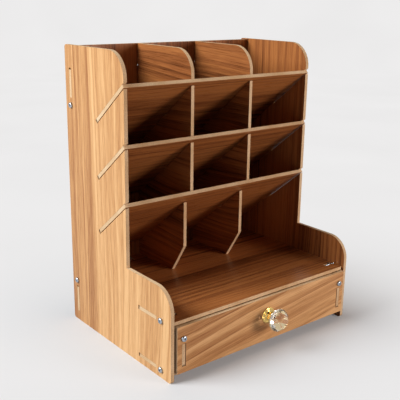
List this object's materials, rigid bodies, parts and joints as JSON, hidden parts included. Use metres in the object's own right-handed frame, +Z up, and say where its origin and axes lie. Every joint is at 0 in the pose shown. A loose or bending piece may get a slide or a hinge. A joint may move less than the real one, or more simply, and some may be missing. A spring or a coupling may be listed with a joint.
{
  "type": "pen stand with drawer",
  "caption": "Desk organizer cut from thin wood-look board: sloping shelves crossed by dividers hold pens above an open deck and a drawer with a cut crystal knob",
  "frame": {"origin": "On the table, below the middle of the box round the whole object, with the knob included", "axes": "+X runs to the right of someone facing the drawer, +Y from the front to the back and +Z up"},
  "size_m": [0.2546, 0.214, 0.31],
  "materials": {
    "laminated_board": "semi-gloss wood-grain paper on fibreboard, with bare tan edges",
    "bright_zinc": "bright zinc-plated steel",
    "gilt_metal": "polished gold-coloured plating",
    "crystal": "clear cut crystal with flat facets"
  },
  "bodies": {
    "carcass": {"left_side_panel": "laminated_board", "right_side_panel": "laminated_board", "back_panel": "laminated_board", "upper_shelf": "laminated_board", "middle_shelf": "laminated_board", "lower_shelf": "laminated_board", "left_divider": "laminated_board", "right_divider": "laminated_board", "deck_board": "laminated_board", "base_board": "laminated_board", "left_panel_screws": "bright_zinc", "left_panel_nuts": "bright_zinc", "right_panel_screws": "bright_zinc", "right_panel_nuts": "bright_zinc", "back_panel_screws": "bright_zinc", "back_panel_nuts": "bright_zinc"},
    "drawer": {"drawer_front": "laminated_board", "drawer_back": "laminated_board", "drawer_left_side": "laminated_board", "drawer_right_side": "laminated_board", "drawer_bottom": "laminated_board", "knob_base": "gilt_metal", "knob_crystal": "crystal", "knob_screw": "bright_zinc", "drawer_front_screws": "bright_zinc", "drawer_front_nuts": "bright_zinc", "drawer_rear_screws": "bright_zinc", "drawer_rear_nuts": "bright_zinc"}
  },
  "joints": [
    {"name": "drawer_slide", "type": "slide", "parent": "carcass", "child": "drawer", "axis": [0, -1, 0], "range_m": [0, 0.13]}
  ]
}
